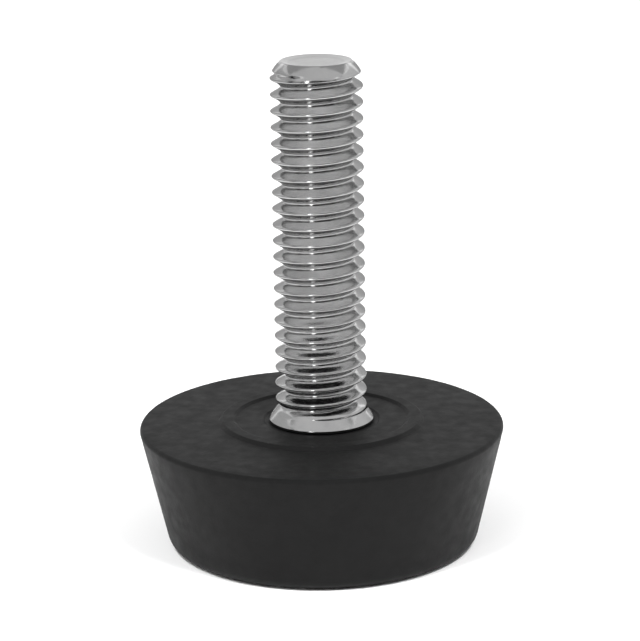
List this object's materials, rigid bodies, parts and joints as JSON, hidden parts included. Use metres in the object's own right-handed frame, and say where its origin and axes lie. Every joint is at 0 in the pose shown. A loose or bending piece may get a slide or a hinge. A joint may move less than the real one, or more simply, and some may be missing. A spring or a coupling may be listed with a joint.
{
  "type": "furniture leveling foot",
  "caption": "Screw-in leveling foot: a plated threaded stud with a collar, moulded into a tapered round black rubber base that rests on the floor.",
  "frame": {"origin": "centre of the face that rests on the floor", "axes": "+Z along the stud's axis, from the floor towards the tip; the object is round, so X and Y are free"},
  "size_m": [0.0318, 0.0318, 0.0426],
  "materials": {
    "rubber": "matte moulded black",
    "plated_steel": "bright zinc plate",
    "plain_steel": "bare stamped steel"
  },
  "bodies": {
    "root": {"rubber_base": "rubber", "threaded_stud": "plated_steel", "anchor_plate": "plain_steel"}
  },
  "joints": []
}
